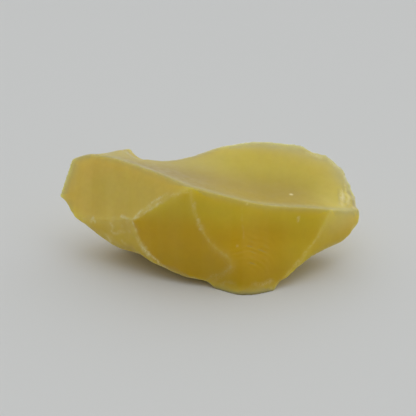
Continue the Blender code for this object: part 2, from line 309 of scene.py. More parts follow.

# Painted shade in the creases between the small chips of the right end and of the back right rim, in the same
# form.
CREASES = (
    (0.16, 0.45, ((20.4, 2.2, 10.8), (20.4, 0.6, 10.0), (20.3, -0.8, 9.4))),
    (0.16, 0.5, ((21.5, 1.9, 10.5), (21.4, 0.6, 9.6), (21.0, -0.6, 9.1), (20.4, -1.6, 9.1))),
    (0.16, 0.5, ((20.6, 4.7, 11.95), (20.3, 3.6, 11.45), (20.5, 2.4, 10.9), (21.3, 2.2, 10.6))),
    (0.15, 0.4, ((19.6, 1.6, 10.6), (19.5, 0.0, 9.9), (19.5, -1.6, 9.5))),
    (0.15, 0.4, ((21.3, -0.9, 9.0), (21.4, -1.7, 8.4), (21.9, -1.3, 7.6))),
    (0.15, 0.4, ((14.6, 7.2, 14.5), (15.6, 6.4, 14.0), (17.0, 6.1, 13.7), (18.2, 6.3, 13.4))),
)

# Where small chips are struck off: the two breaks whose ridge it is, how many at most, and the least and
# greatest width of a chip in mm.
CHIPPED_RIDGES = (
    ("left_front", "middle_front", 16, 0.25, 0.6),
    ("left_front", "jowl", 10, 0.3, 0.6),
    ("jowl", "middle_front", 10, 0.3, 0.6),
    ("jowl", "left_under", 14, 0.5, 1.4),
    ("left_front", "left_under", 8, 0.4, 1.2),
    ("middle_front", "right_front", 10, 0.2, 0.45),
    ("middle_front", "left_under", 16, 0.3, 0.8),
    ("right_front", "right_low", 12, 0.25, 0.5),
    ("right_front", "left_under", 8, 0.3, 0.7),
    ("top", "left_front", 12, 0.25, 0.6),
    ("top", "right_front", 18, 0.25, 0.6),
    ("top", "back", 14, 0.4, 1.4),
    ("top", "notch", 12, 0.3, 0.9),
    ("notch", "back", 12, 0.4, 1.2),
    ("top", "crown_back", 8, 0.3, 0.9),
    ("left_back", "back", 14, 0.5, 1.6),
    ("back", "right_back", 12, 0.5, 1.4),
    ("right_back", "right_under", 14, 0.5, 1.6),
    ("right_low", "right_under", 14, 0.3, 1.0),
)
# The least share that both breaks have in a point of their ridge.
RIDGE_SHARE = 0.3
# The least and greatest share of its width that a chip is deep, how much the ways that the chips face
# scatter, and how crisp their rims are, per mm.
CHIP_BITES = (0.04, 0.12)
CHIP_SCATTER = 0.15
CHIP_SHARPNESS = 90.0
# The points that a chip moves, in mm: how near to it they are, how far one goes at a time, and how often.
CHIP_NEAR = 0.06
CHIP_MOVE = 0.2
CHIP_MOVES = 5

# The ridges between breaks: how much their sharpness changes from place to place, over what length in mm,
# and the least that it may be.
SHARPNESS_CHANGE = 0.2
SHARPNESS_LENGTH = 4.0
SHARPNESS_LEAST = 13.0

# The x in mm from which, and to which, more is given back to the feather edge of the thin end, whose
# rounding takes the most away, and how many times more.
THIN_END = (13.0, 18.0)
THIN_END_LIFT = 1.6

# The mesh's points: how often they are laid on the surface, how many moves each time takes, and how far
# they go towards the middle of their neighbours in between.
SETTLING_ROUNDS = 4
SETTLING_MOVES = 2
SPREADING = 0.6

# How far inside the solid's box, in mm, a point starts to be drawn in.
BOX_MARGIN = 0.2

# Swells and fine relief of the breaks: wavelength and height in mm.
SWELLS = ((7.0, 0.045), (3.0, 0.016), (1.3, 0.006))

# Shell-like ripples low on the right front face, in mm: the middle of their rings and the radius that stays
# bare, the middle and reach of the patch that they show in, their step and height, how far a ring wanders,
# and the lengths over which rings wander and fade.
RIPPLE_START = np.array([5.4, -11.2, 1.8])
RIPPLE_BARE = 1.0
RIPPLE_PATCH = np.array([6.4, -9.4, 5.6])
RIPPLE_REACH = 2.4
RIPPLE_STEP = 0.8
RIPPLE_HEIGHT = 0.08
RIPPLE_WANDER = 0.1
RIPPLE_LENGTHS = (3.0, 1.8)

# How thin the stone is: from what depth to what reach light is followed into it, over what depth it fades,
# all in mm, and how often the result is evened out.
LIGHT_START = 0.02
LIGHT_REACH = 12.0
LIGHT_FADE = 2.2
LIGHT_ROUNDS = 24

# A random field is a sum of this many waves, each this many times as short as its length says.
WAVE_COUNT = 28
WAVE_SPREAD = (0.75, 1.3)

# Drawn lines wander this far, over each of these lengths, in mm.
LINE_WANDER = 0.06
LINE_LENGTHS = (0.9, 2.3)

# Wear comes in patches: how much waves of each length in mm add to it.
PATCHES = ((2.0, 0.5), (6.0, 0.4))
# How pale a ridge and a chip are worn, how wide a ridge is worn in mm, and how much wider in a patch.
RIDGE_WEAR = 0.18
CHIP_WEAR = 0.28
WORN_WIDTH = 0.1
WORN_SPREAD = 0.16
# How much of its paleness a scuffed line keeps outside the patches.
SCUFF_LEAST = 0.6
# The bend over a ridge from which it is fully worn, given painted shade or painted halo, and the least that a
# bend counts as.
WORN_BEND = 0.6
EDGE_BEND = 1.2
HALO_BEND = 0.7
LEAST_BEND = 0.05
# The breaks underneath, and the share of the bends over their ridges that counts, for they are marked less.
LOW_BREAKS = ("rest", "left_under", "right_under")
LOW_BEND = 0.35

# How far the left faces, milkier and with painted light, run into the others, how far the painted reflection
# on the lip of the top reaches from the brow, and how far the painted shade of a ridge and the painted pale
# halo of a front one reach, all in mm.
LEFT_BLUR = 0.12
LIP_REACH = 1.2
EDGE_REACH = 0.55
HALO_REACH = 0.7
# How dark the painted shade on the ridge of the brow is, how dark it is on the front ridges right under it
# and how far down in mm, and how pale the painted halos of the low right face are.
BROW_EDGE = 0.6
UNDER_BROW_EDGE = 0.7
UNDER_BROW_REACH = 0.7
RIGHT_LOW_HALO = 0.3

# The camera: its target in the corners' frame and its distance in mm, how far it looks down in degrees, its
# lens and sensor in mm, and its clipping in metres.
CAMERA_TARGET = np.array([0.0, 0.0, 8.3])
CAMERA_DISTANCE = 173.3
CAMERA_RISE = 25.0
CAMERA_LENS = 100.0
CAMERA_SENSOR = 36.0
CAMERA_CLIP = (0.01, 10.0)

# The lamp above the stone: its place and its width and depth in metres, and its power in watts.
SOFTBOX_PLACE = (0.05, -0.16, 0.60)
SOFTBOX_SIZE = (0.6, 0.5)
SOFTBOX_POWER = 0.45

# The light of the room: for each side, the axis, where along it a direction's light changes, and how bright
# it is at the two. The four add up, so the least of the right is the least of all directions.
SKY_SIDES = {
    "overhead": ("Z", 0.30, 0.95, 0.0, 0.42),
    "behind": ("Y", -0.3, 0.8, 0.0, 0.52),
    "left": ("X", -0.2, -0.9, 0.0, 0.10),
    "right": ("X", 0.1, 0.9, 0.16, 0.52),
}
SKY_COLOR = (0.975, 0.988, 1.0, 1.0)


class OpalSettings(bpy.types.PropertyGroup):
    """The sizes and colours of the stone and its stage that can be changed."""

    cell: bpy.props.FloatProperty(
        name="Mesh cell", description="Size of the cells of the stone's mesh", default=0.00019, min=0.0001,
        max=0.002, precision=5, subtype="DISTANCE", unit="LENGTH")
    ridge_sharpness: bpy.props.FloatProperty(
        name="Ridge sharpness", description="How crisp the ridges between breaks are, per mm", default=22.0,
        min=2.0, max=60.0)
    honey: bpy.props.FloatVectorProperty(
        name="Honey", description="Colour of the deeper, thicker parts", subtype="COLOR", size=4, min=0.0,
        max=1.0, default=(0.70, 0.445, 0.004, 1.0))
    lemon: bpy.props.FloatVectorProperty(
        name="Lemon", description="Colour of the paler parts", subtype="COLOR", size=4, min=0.0, max=1.0,
        default=(0.74, 0.58, 0.03, 1.0))
    thin: bpy.props.FloatVectorProperty(
        name="Thin edge", description="Colour where light comes through the stone", subtype="COLOR", size=4,
        min=0.0, max=1.0, default=(0.64, 0.58, 0.27, 1.0))
    # Painted shade and sheen on the left part of the top, darker and greyer.
    top_shade_and_sheen: bpy.props.FloatVectorProperty(
        name="Top shade and sheen", description="Colour of the milky left part of the top", subtype="COLOR", size=4,
        min=0.0, max=1.0, default=(0.56, 0.465, 0.15, 1.0))
    # The left faces: partly milkier stone, partly painted light from the left.
    left: bpy.props.FloatVectorProperty(
        name="Left faces", description="Colour of the milkier front faces at the left", subtype="COLOR",
        size=4, min=0.0, max=1.0, default=(0.79, 0.615, 0.135, 1.0))
    # Painted light through the stone on the faces that look down.
    under: bpy.props.FloatVectorProperty(
        name="Underside", description="Colour of the breaks that face down", subtype="COLOR", size=4,
        min=0.0, max=1.0, default=(0.85, 0.60, 0.04, 1.0))
    # Painted shade on the ridges.
    edge: bpy.props.FloatVectorProperty(
        name="Ridge", description="Colour of the ridges between breaks", subtype="COLOR", size=4, min=0.0,
        max=1.0, default=(0.41, 0.365, 0.27, 1.0))
    band: bpy.props.FloatVectorProperty(
        name="Bands", description="Colour of the faint upright bands at the left", subtype="COLOR", size=4,
        min=0.0, max=1.0, default=(1.0, 0.87, 0.30, 1.0))
    scuff: bpy.props.FloatVectorProperty(
        name="Scuffs", description="Colour of scuffs, chips and specks", subtype="COLOR", size=4, min=0.0,
        max=1.0, default=(0.95, 0.865, 0.50, 1.0))
    glow_depth: bpy.props.FloatProperty(
        name="Glow depth", description="How far light wanders in the stone", default=0.0032, min=0.0,
        max=0.05, precision=4, subtype="DISTANCE", unit="LENGTH")
    gloss_roughness: bpy.props.FloatProperty(
        name="Roughness", description="How dull the waxy gloss is", default=0.34, min=0.0, max=1.0,
        subtype="FACTOR")
    floor_color: bpy.props.FloatVectorProperty(
        name="Floor", description="Colour of the floor", subtype="COLOR", size=4, min=0.0, max=1.0,
        default=(0.72, 0.725, 0.712, 1.0))
    floor_size: bpy.props.FloatProperty(
        name="Floor size", description="Width of the floor", default=3.0, min=0.2, max=20.0,
        subtype="DISTANCE", unit="LENGTH")


# ---------------------------------------------------------------------------------------------------------
# The breaks


def bend_of(distance):
    """The thin-plate kernel: how a stiff sheet pushed up at one point bends at a distance from it."""
    return distance**2 * np.log(np.maximum(distance, TINY))


class Sheet:
    """A smooth fracture sheet through some corners, with its own axes: x and y in it, z out of the stone."""

    def __init__(self, corners):
        points = np.array([CORNERS[name] for name in corners])
        self.middle = points.mean(axis=0)
        spread = np.linalg.svd(points - self.middle)[2]
        outward = spread[2]
        if outward @ (self.middle - HEART) < 0:
            outward = -outward
        along = spread[0]
        self.axes = np.stack([along, np.cross(outward, along), outward])
        local = (points - self.middle) @ self.axes.T
        self.knots = local[:, :2]
        gaps = np.linalg.norm(self.knots[:, None] - self.knots[None], axis=2)
        flat = np.column_stack([np.ones(len(points)), self.knots])
        bending = np.block([[bend_of(gaps), flat], [flat.T, np.zeros((3, 3))]])
        self.weights = np.linalg.lstsq(bending, np.append(local[:, 2], np.zeros(3)), rcond=None)[0]

    def outside(self, points):
        """How far outside the sheet each point is, and the way out of the sheet there."""
        local = (points - self.middle) @ self.axes.T
        away = local[:, None, :2] - self.knots[None]
        distance = np.linalg.norm(away, axis=2)
        pull = self.weights[: len(self.knots)]
        tilt = self.weights[len(self.knots) :]
        height = bend_of(distance) @ pull + tilt[0] + local[:, :2] @ tilt[1:]
        steepness = (2.0 * np.log(np.maximum(distance, TINY)) + 1.0) * pull
        slope = (steepness[..., None] * away).sum(axis=1) + tilt[1:]
        way = np.column_stack([-slope, np.ones(len(points))])
        stretch = np.linalg.norm(way, axis=1)
        return (local[:, 2] - height) / stretch, (way / stretch[:, None]) @ self.axes


def ball_outside(points, middle, radius, uneven=0.0):
    """The same for a shell-shaped scar: inside its ball is outside the stone. uneven moves its edge."""
    away = points - middle
    distance = np.maximum(np.linalg.norm(away, axis=1), TINY)
    return radius - distance + uneven, -away / distance[:, None]


def facing_way(heading, tilt):
    """The direction at these angles in degrees: round from the right towards the back, and up."""
    heading, tilt = math.radians(heading), math.radians(tilt)
    return np.array([math.cos(heading) * math.cos(tilt), math.sin(heading) * math.cos(tilt), math.sin(tilt)])


def scar_balls():
    """The ball that each spall and scar leaves a piece of: its middle and its radius."""
    balls = []
    for place, heading, tilt, radius, bite in [*SPALLS.values(), *SCARS.values()]:
        balls.append((np.array(place) + facing_way(heading, tilt) * (radius - bite), radius))
    return balls


def smooth_greatest(gaps, ways, sharpness):
    """The greatest gap, rounded where two are nearly equal, with its way out and each one's share in it."""
    top = gaps.max(axis=0)
    shares = np.exp(sharpness * (gaps - top))
    total = shares.sum(axis=0)
    shares = shares / total
    return top + np.log(total) / sharpness, (shares[..., None] * ways).sum(axis=0), shares


def stone_outside(points, sheets, balls, sharpness):
    """How far outside the broken stone each point is, the way out, and the share of each break in that.

    Rounding takes something off every ridge. The surface is lifted by as much as it takes off a ridge of two
    breaks, and by more at the thin end, so that the ridges stay where they are.
    """
    found = [sheet.outside(points) for sheet in sheets]
    uneven = SCAR_WANDER * waves(points, SCAR_LENGTH, SEED + 1)
    found += [ball_outside(points, middle, radius, uneven) for middle, radius in balls]
    gaps = np.stack([gap for gap, _ in found])
    ways = np.stack([way for _, way in found])
    gap, way, shares = smooth_greatest(gaps, ways, sharpness)
    at_thin_end = np.clip((points[:, 0] - THIN_END[0]) / (THIN_END[1] - THIN_END[0]), 0.0, 1.0)
    return gap - math.log(2.0) / sharpness * (1.0 + THIN_END_LIFT * at_thin_end), way, shares


def waves(points, length, seed):
    """A smooth random field of about -1 to 1: plane waves of one length in random directions."""
    draw = np.random.default_rng(seed)
    ways = draw.normal(size=(WAVE_COUNT, 3))
    ways /= np.linalg.norm(ways, axis=1, keepdims=True)
    numbers = ways * (2.0 * math.pi / length) * draw.uniform(*WAVE_SPREAD, (WAVE_COUNT, 1))
    phases = draw.uniform(0.0, 2.0 * math.pi, WAVE_COUNT)
    return np.cos(points @ numbers.T + phases).sum(axis=1) / math.sqrt(WAVE_COUNT)


# ---------------------------------------------------------------------------------------------------------
# The stone's mesh


def fine_copy(node, cell):
    """A closed, even mesh of the solid."""
    copy = node.copy()
    copy.data = node.data.copy()
    copy.parent = None
    bpy.context.scene.collection.objects.link(copy)
    even = copy.modifiers.new("even cells", "REMESH")
    even.mode = "VOXEL"
    even.voxel_size = cell
    even.adaptivity = 0.0
    bpy.context.view_layer.update()
    mesh = bpy.data.meshes.new_from_object(copy.evaluated_get(bpy.context.evaluated_depsgraph_get()))
    bpy.data.objects.remove(copy, do_unlink=True)
    return mesh


def places_of(mesh):
    """The mesh's points in mm, in the frame of the corners."""
    places = np.empty(len(mesh.vertices) * 3)
    mesh.vertices.foreach_get("co", places)
    return places.reshape(-1, 3) / MM + MIDDLE


def edges_of(mesh):
    """The numbers of the two points of each edge."""
    edges = np.empty(len(mesh.edges) * 2, np.int64)
    mesh.edges.foreach_get("vertices", edges)
    return edges.reshape(-1, 2)


def set_places(mesh, places):
    mesh.vertices.foreach_set("co", ((places - MIDDLE) * MM).ravel())
    mesh.update()


def write_values(mesh, name, values):
    held = mesh.attributes.new(name, "FLOAT", "POINT")
    held.data.foreach_set("value", np.clip(values, 0.0, 1.0).astype(np.float32))


def neighbours_mean(values, edges, counts):
    summed = np.zeros_like(values)
    for axis in range(values.shape[1]):
        summed[:, axis] = np.bincount(edges[:, 0], values[edges[:, 1], axis], len(values))
        summed[:, axis] += np.bincount(edges[:, 1], values[edges[:, 0], axis], len(values))
    return summed / counts[:, None]


def fading(distance, reach):
    """1 at no distance, falling smoothly to nearly 0 at twice the reach."""
    return np.exp(-((distance / reach) ** 2))


def line_distance(places, line):
    """How far each point is from a line of straight stretches."""
    nearest = np.full(len(places), np.inf)
    for start, end in zip(np.array(line[:-1]), np.array(line[1:])):
        stretch = end - start
        share = np.clip((places - start) @ stretch / (stretch @ stretch), 0.0, 1.0)
        nearest = np.minimum(nearest, np.linalg.norm(places - start - share[:, None] * stretch, axis=1))
    return nearest


def drawn_lines(places, lines):
    """How strongly each point is marked by some lines, which wander a little on their way."""
    short, long = LINE_LENGTHS
    wander = LINE_WANDER * waves(places, short, SEED + 33) + LINE_WANDER * waves(places, long, SEED + 34)
    marked = np.zeros(len(places))
    for width, strength, way in lines:
        away = np.maximum(line_distance(places, way) + wander, 0.0)
        marked = np.maximum(marked, strength * fading(away, width))
    return marked


def ridge_distance(places, sheets):
    """How far each point is, in mm over the surface, from the nearest ridge, how sharp that ridge is, and the
    numbers of its two breaks."""
    found = [sheet.outside(places) for sheet in sheets]
    gaps = np.stack([gap for gap, _ in found])
    ways = np.stack([way for _, way in found])
    order = np.argsort(gaps, axis=0)
    index = np.arange(len(places))
    first, second = order[-1], order[-2]
    bend = np.linalg.norm(ways[first, index] - ways[second, index], axis=1)
    return (gaps[first, index] - gaps[second, index]) / np.maximum(bend, LEAST_BEND), bend, first, second


def settle(places, edges, sheets, balls, sharpness):
    """Moves the points onto the broken surface, and spreads them evenly over it."""
    counts = np.bincount(edges.ravel(), minlength=len(places))
    for turn in range(SETTLING_ROUNDS):
        for _ in range(SETTLING_MOVES):
            gap, way, shares = stone_outside(places, sheets, balls, sharpness)
            places = places - way * (gap / (way**2).sum(axis=1))[:, None]
        if turn < SETTLING_ROUNDS - 1:
            normal = way / np.linalg.norm(way, axis=1, keepdims=True)
            drift = neighbours_mean(places, edges, counts) - places
            drift -= normal * (drift * normal).sum(axis=1)[:, None]
            places = places + SPREADING * drift
    return places, way / np.linalg.norm(way, axis=1, keepdims=True), shares


def ridge_chips(places, normals, shares, names, draw):
    """The balls of the small chips along the ridges."""
    balls = []
    for first, second, count, least, greatest in CHIPPED_RIDGES:
        both = np.minimum(shares[names.index(first)], shares[names.index(second)])
        ridge = np.flatnonzero(both > RIDGE_SHARE)
        if not len(ridge):
            continue
        for pick in draw.choice(ridge, min(count, len(ridge)), replace=False):
            width = draw.uniform(least, greatest)
            bite = width * draw.uniform(*CHIP_BITES)
            radius = (width**2 / 4.0 + bite**2) / (2.0 * bite)
            way = normals[pick] + draw.normal(0.0, CHIP_SCATTER, 3)
            way /= np.linalg.norm(way)
            balls.append((places[pick] + way * (radius - bite), radius))
    return balls


def strike_chips(places, sheets, balls, chips, sharpness):
    """Moves the points near a chip onto the surface that it leaves. Returns the chips' share in each, too."""
    reach = np.full(len(places), -np.inf)
    for middle, radius in chips:
        reach = np.maximum(reach, ball_outside(places, middle, radius)[0])
    near = np.flatnonzero(reach > -CHIP_NEAR)
    struck = places[near]
    for _ in range(CHIP_MOVES):
        gap, way, _ = stone_outside(struck, sheets, balls, sharpness[near])
        found = [ball_outside(struck, middle, radius) for middle, radius in chips]
        gaps = np.stack([gap, *(chip_gap for chip_gap, _ in found)])
        ways = np.stack([way, *(chip_way for _, chip_way in found)])
        gap, way, shares = smooth_greatest(gaps, ways, CHIP_SHARPNESS)
        struck = struck - way * np.clip(gap / (way**2).sum(axis=1), -CHIP_MOVE, CHIP_MOVE)[:, None]
    places = places.copy()
    places[near] = struck
    chipped = np.zeros(len(places))
    chipped[near] = 1.0 - shares[0]
    return places, chipped


def relief(places, shares, names):
    """The low swells of every break, and the ripples of the right front face, in mm out of the stone."""
    height = np.zeros(len(places))
    for turn, (length, rise) in enumerate(SWELLS):
        height += rise * waves(places, length, SEED + 10 + turn)
    wander, patches = RIPPLE_LENGTHS
    away = np.linalg.norm(places - RIPPLE_START, axis=1)
    bent = away + RIPPLE_WANDER * waves(places, wander, SEED + 20)
    patch = fading(np.linalg.norm(places - RIPPLE_PATCH, axis=1), RIPPLE_REACH)
    patch *= np.clip(0.7 + 0.7 * waves(places, patches, SEED + 21), 0.0, 1.3)
    patch *= np.clip(away - RIPPLE_BARE, 0.0, 1.0)
    share = shares[names.index("right_front")]
    height += RIPPLE_HEIGHT * np.sin(2.0 * math.pi * bent / RIPPLE_STEP) * patch * share
    return height * (1.0 - shares[names.index("rest")]) ** 2


def keep_in_box(places):
    """Draws points near the sides and top of the solid's box smoothly into it, and cuts the base flat."""
    low = np.array(CAD_BOX[0]) / MM + MIDDLE
    high = np.array(CAD_BOX[1]) / MM + MIDDLE
    for wall, sign in ((low, 1.0), (high, -1.0)):
        room = sign * (places - wall)
        drawn_in = BOX_MARGIN * np.exp(np.minimum(room / BOX_MARGIN - 1.0, 0.0))
        kept = wall + sign * np.where(room < BOX_MARGIN, drawn_in, room)
        if wall is low:
            kept[:, 2] = places[:, 2]
        places = kept
    places[:, 2] = np.maximum(places[:, 2], low[2])
    return places


def thinness(places, normals, faces):
    """How easily light crosses the stone under each point: 1 at a feather edge, 0 in the thick of it."""
    tree = BVHTree.FromPolygons(places.tolist(), faces, all_triangles=False)
    thin = np.zeros(len(places))
    for index, (place, normal) in enumerate(zip(places, normals)):
        inward = Vector(-normal)
        hit = tree.ray_cast(Vector(place) + inward * LIGHT_START, inward, LIGHT_REACH)
        thin[index] = math.exp(-(hit[3] if hit[3] else LIGHT_REACH) / LIGHT_FADE)
    return thin


def marks(places, chipped, ridges):
    """What the finish reads at each point, by name: how worn, whether on the left faces, pale flecks, painted
    shade and highlights.
    """
    distance, bend, first, second = ridges
    names = list(FRACTURES)

    def one_is(*breaks):
        numbers = [names.index(name) for name in breaks]
        return np.isin(first, numbers) | np.isin(second, numbers)

    front = [names.index(name) for name in FRONT_BREAKS]
    in_front = np.isin(first, front) & np.isin(second, front)
    at_brow = one_is(*FRONT_BREAKS) & one_is("top")
    left = np.isin(first, [names.index(name) for name in LEFT_BREAKS])
    bend = np.where(one_is(*LOW_BREAKS), LOW_BEND * bend, bend)

    (short, by_short), (long, by_long) = PATCHES
    patchy = 0.5 + by_short * waves(places, short, SEED + 31) + by_long * waves(places, long, SEED + 32)
    patchy = np.clip(patchy, 0.0, 1.0)
    worn = RIDGE_WEAR * fading(distance, WORN_WIDTH + WORN_SPREAD * patchy)
    worn = worn * np.clip(bend / WORN_BEND, 0.0, 1.0)
    wear = np.maximum(worn, CHIP_WEAR * chipped) * patchy
    scuffed = drawn_lines(places, SCUFFED_LINES) * (SCUFF_LEAST + (1.0 - SCUFF_LEAST) * patchy)

    from_brow = line_distance(places, [CORNERS[name] for name in BROW])
    # Painted shade on the ridges, and a painted pale halo along the front ones.
    ridge = fading(distance, EDGE_REACH) * np.clip(bend / EDGE_BEND, 0.0, 1.0)
    under_brow = UNDER_BROW_EDGE * fading(from_brow, UNDER_BROW_REACH)
    halo = fading(distance, HALO_REACH) * np.clip(bend / HALO_BEND, 0.0, 1.0)
    halo = halo * np.clip(0.7 + 0.6 * patchy, 0.0, 1.0)
    halo = np.where(one_is("right_low"), RIGHT_LOW_HALO * halo, halo)

    # Pale flecks, partly painted glints.
    fleck_and_glint = np.zeros(len(places))
    for place, radius, strength in FLECKS_AND_GLINTS:
        away = np.linalg.norm(places - np.array(place), axis=1)
        fleck_and_glint = np.maximum(fleck_and_glint, strength * np.exp(-((away / radius) ** 4)))
    return {
        "wear": np.maximum(wear, scuffed),
        "crease": drawn_lines(places, CREASES),
        "left": 0.5 + np.where(left, 0.5, -0.5) * np.tanh(distance / LEFT_BLUR),
        "lip": fading(from_brow, LIP_REACH),
        "edge": np.where(in_front, under_brow, np.where(at_brow, BROW_EDGE, 1.0)) * ridge,
        "halo": np.where(in_front, halo, 0.0),
        "fleck_and_glint": fleck_and_glint,
    }


def stone_mesh(settings):
    """The stone's mesh, laid on its breaks, chipped and rippled, with the values that its finish reads."""
    mesh = fine_copy(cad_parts["opal"], settings.cell)
    names = list(FRACTURES)
    sheets = [Sheet(corners) for corners in FRACTURES.values()]
    balls = scar_balls()
    places = places_of(mesh)
    edges = edges_of(mesh)
    sharpness = settings.ridge_sharpness * (1.0 + SHARPNESS_CHANGE * waves(places, SHARPNESS_LENGTH, SEED))
    sharpness = np.maximum(sharpness, SHARPNESS_LEAST)
    places, normals, shares = settle(places, edges, sheets, balls, sharpness)
    ridges = ridge_distance(places, sheets)
    chips = ridge_chips(places, normals, shares, names, np.random.default_rng(SEED))
    places, chipped = strike_chips(places, sheets, balls, chips, sharpness)
    places += normals * relief(places, shares, names)[:, None]
    places = keep_in_box(places)
    set_places(mesh, places)

    for name, values in marks(places, chipped, ridges).items():
        write_values(mesh, name, values)
    thin = thinness(places, normals, [tuple(face.vertices) for face in mesh.polygons])
    counts = np.bincount(edges.ravel(), minlength=len(places))
    for _ in range(LIGHT_ROUNDS):
        thin = neighbours_mean(thin[:, None], edges, counts)[:, 0]
    write_values(mesh, "thin", thin)
    mesh.shade_smooth()
    return mesh


# ---------------------------------------------------------------------------------------------------------
# Materials


# Tints that are mixed into the stone's own colours: the jowl's deeper tone, and painted light and shade: a
# sheen on the top, a glow at the right end, light at the foot, shade in the creases, pale halos, a reflection
# on the lip, and glints among pale flecks.
TINTS = {
    "jowl": (0.76, 0.56, 0.05, 1.0),
    "top": (0.69, 0.60, 0.13, 1.0),
    "right end": (0.86, 0.785, 0.28, 1.0),
    "foot": (0.92, 0.72, 0.14, 1.0),
    "crease": (0.54, 0.47, 0.19, 1.0),
    "halo": (0.95, 0.82, 0.30, 1.0),
    "lip": (0.52, 0.44, 0.16, 1.0),
    "fleck_and_glint": (0.95, 0.85, 0.5, 1.0),
}

# Shades that the stone's colours are multiplied by: painted shade under the jowl and on the lower part, a
# darker band behind the brow, and a random mottle.
SHADES = {
    "under the jowl": (0.88, 0.86, 0.85, 1.0),
    "behind the brow": (0.75, 0.67, 0.69, 1.0),
    "low": (0.87, 0.88, 1.0, 1.0),
    "mottle": (0.965, 0.96, 0.93, 1.0),
}

# How strongly each colour, tint or mark is laid on.
STRENGTHS = {
    "cloud": 0.4,
    "jowl": 0.6,
    "top": 0.5,
    "top_shade_and_sheen": 0.75,
    "left end": 0.4,
    "foot": 0.45,
    "under": 0.6,
    "edge": 0.8,
    "halo": 0.18,
    "lip": 0.6,
    "wear": 0.8,
    "specks": 0.7,
}

# Where colours fade in over the stone: the axis, where along it in mm this starts and ends, and the shares
# at the two, where they aren't 0 and 1.
REGIONS = {
    "upper part": ("Z", 6.5, 13.0),
    "lemon to the right": ("X", -6.0, 16.0, 0.66, 0.85),
    "pale right": ("X", 7.0, 14.0, 0.0, 0.35),
    "left": ("X", 0.0, -10.0, 0.6, 0.85),
    "jowl": ("Z", 8.2, 5.8),
    "under the jowl": ("Z", 5.6, 3.2),
    "bands": ("X", -6.0, -15.0, 0.03, 0.12),
    "milky left": ("X", 6.0, -6.0),
    "front of the top": ("Y", 6.5, 0.0),
    "short of the right end": ("X", 20.0, 12.0),
    "lower part": ("Z", 6.5, 1.5),
    "right of the jowl": ("X", -14.0, -6.0),
    "right end": ("X", 15.0, 20.5),
    "above the overhang": ("Z", 4.5, 8.5),
    "left end": ("X", -15.0, -21.0),
    "back rim": ("Y", 4.0, 9.0),
    "foot": ("Z", 1.7, 0.4),
}

# Noises: their scale, detail, roughness and distortion. The scale is per mm, and per metre for the paper.
NOISES = {
    "cloud": (0.11, 3.0, 0.5, 0.4),
    "bands": (0.5, 1.0, 0.5, 0.0),
    "mottle": (0.7, 4.0, 0.6, 0.3),
    "grain": (2.2, 3.0, 0.6, 0.0),
    "scuffs": (2.4, 5.0, 0.7, 1.2),
    "gloss": (0.9, 4.0, 0.6, 0.0),
    "fine relief": (3.5, 4.0, 0.6, 0.0),
    "paper": (14.0, 3.0, 0.5, 0.0),
}

# The amounts between which some noises show, and their shares at the two, where they aren't 0 and 1.
NOISE_SPANS = {
    "bands": (0.42, 0.66),
    "mottle": (0.3, 0.7),
    "grain": (0.35, 0.7, 0.0, 0.05),
    "scuffs": (0.38, 0.56, 0.15, 1.0),
    "paper": (0.3, 0.7, 0.0, 0.035),
}

# The bands' noise is stretched to the back, and most of all upwards.
BAND_STRETCH = (1.0, 0.15, 0.04)

# How pale the stone is everywhere, and between which amounts it turns from honey to lemon.
PALE_START = 0.2
PALE_SPAN = (0.4, 1.1)

# How far up a face looks where it starts and where it fully counts as top, and as facing down.
TOP_SPAN = (0.55, 0.8)
DOWN_SPAN = (-0.35, -0.75)

# How strongly the right end is tinted with painted glow at its side, and how much less on top.
RIGHT_END_TINT = 0.5
RIGHT_END_LESS = 0.35

# Pale specks: how many of their cells there are per mm, where one ends and is full, as shares of a cell,
# and which of them are kept.
SPECK_SCALE = 0.55
SPECK_EDGE = (0.11, 0.05)
SPECKS_KEPT = (0.86, 0.9)

# The gloss: between which amounts of its noise it changes, how much smoother and rougher than its setting
# it gets, and how much rougher where it is scuffed.
GLOSS_NOISE = (0.3, 0.7)
GLOSS_CHANGE = (-0.06, 0.08)
SCUFF_ROUGHNESS = 0.25

# How thin a place is where the painted glow of the thin edge starts to show, and where it shows fully.
THIN_SPAN = (0.08, 0.75)

# How the surface reflects, and its bumps, whose height is in metres.
REFRACTION = 1.43
SPECULAR_LEVEL = 0.42
BUMP_STRENGTH = 0.35
BUMP_HEIGHT = 0.00002
# How far red, green and blue light wander in the stone, as shares of the glow depth.
GLOW_COLORS = (1.0, 0.93, 0.3)
# Marks glow less than clear stone: between which strengths of a mark, and how much at the two.
GLOW_SPAN = (0.05, 0.6, 1.0, 0.3)

# The paper: how dark its darker spots are, how rough it is and how much it reflects.
PAPER_SHADE = 0.9
PAPER_ROUGHNESS = 0.6
PAPER_SPECULAR_LEVEL = 0.3


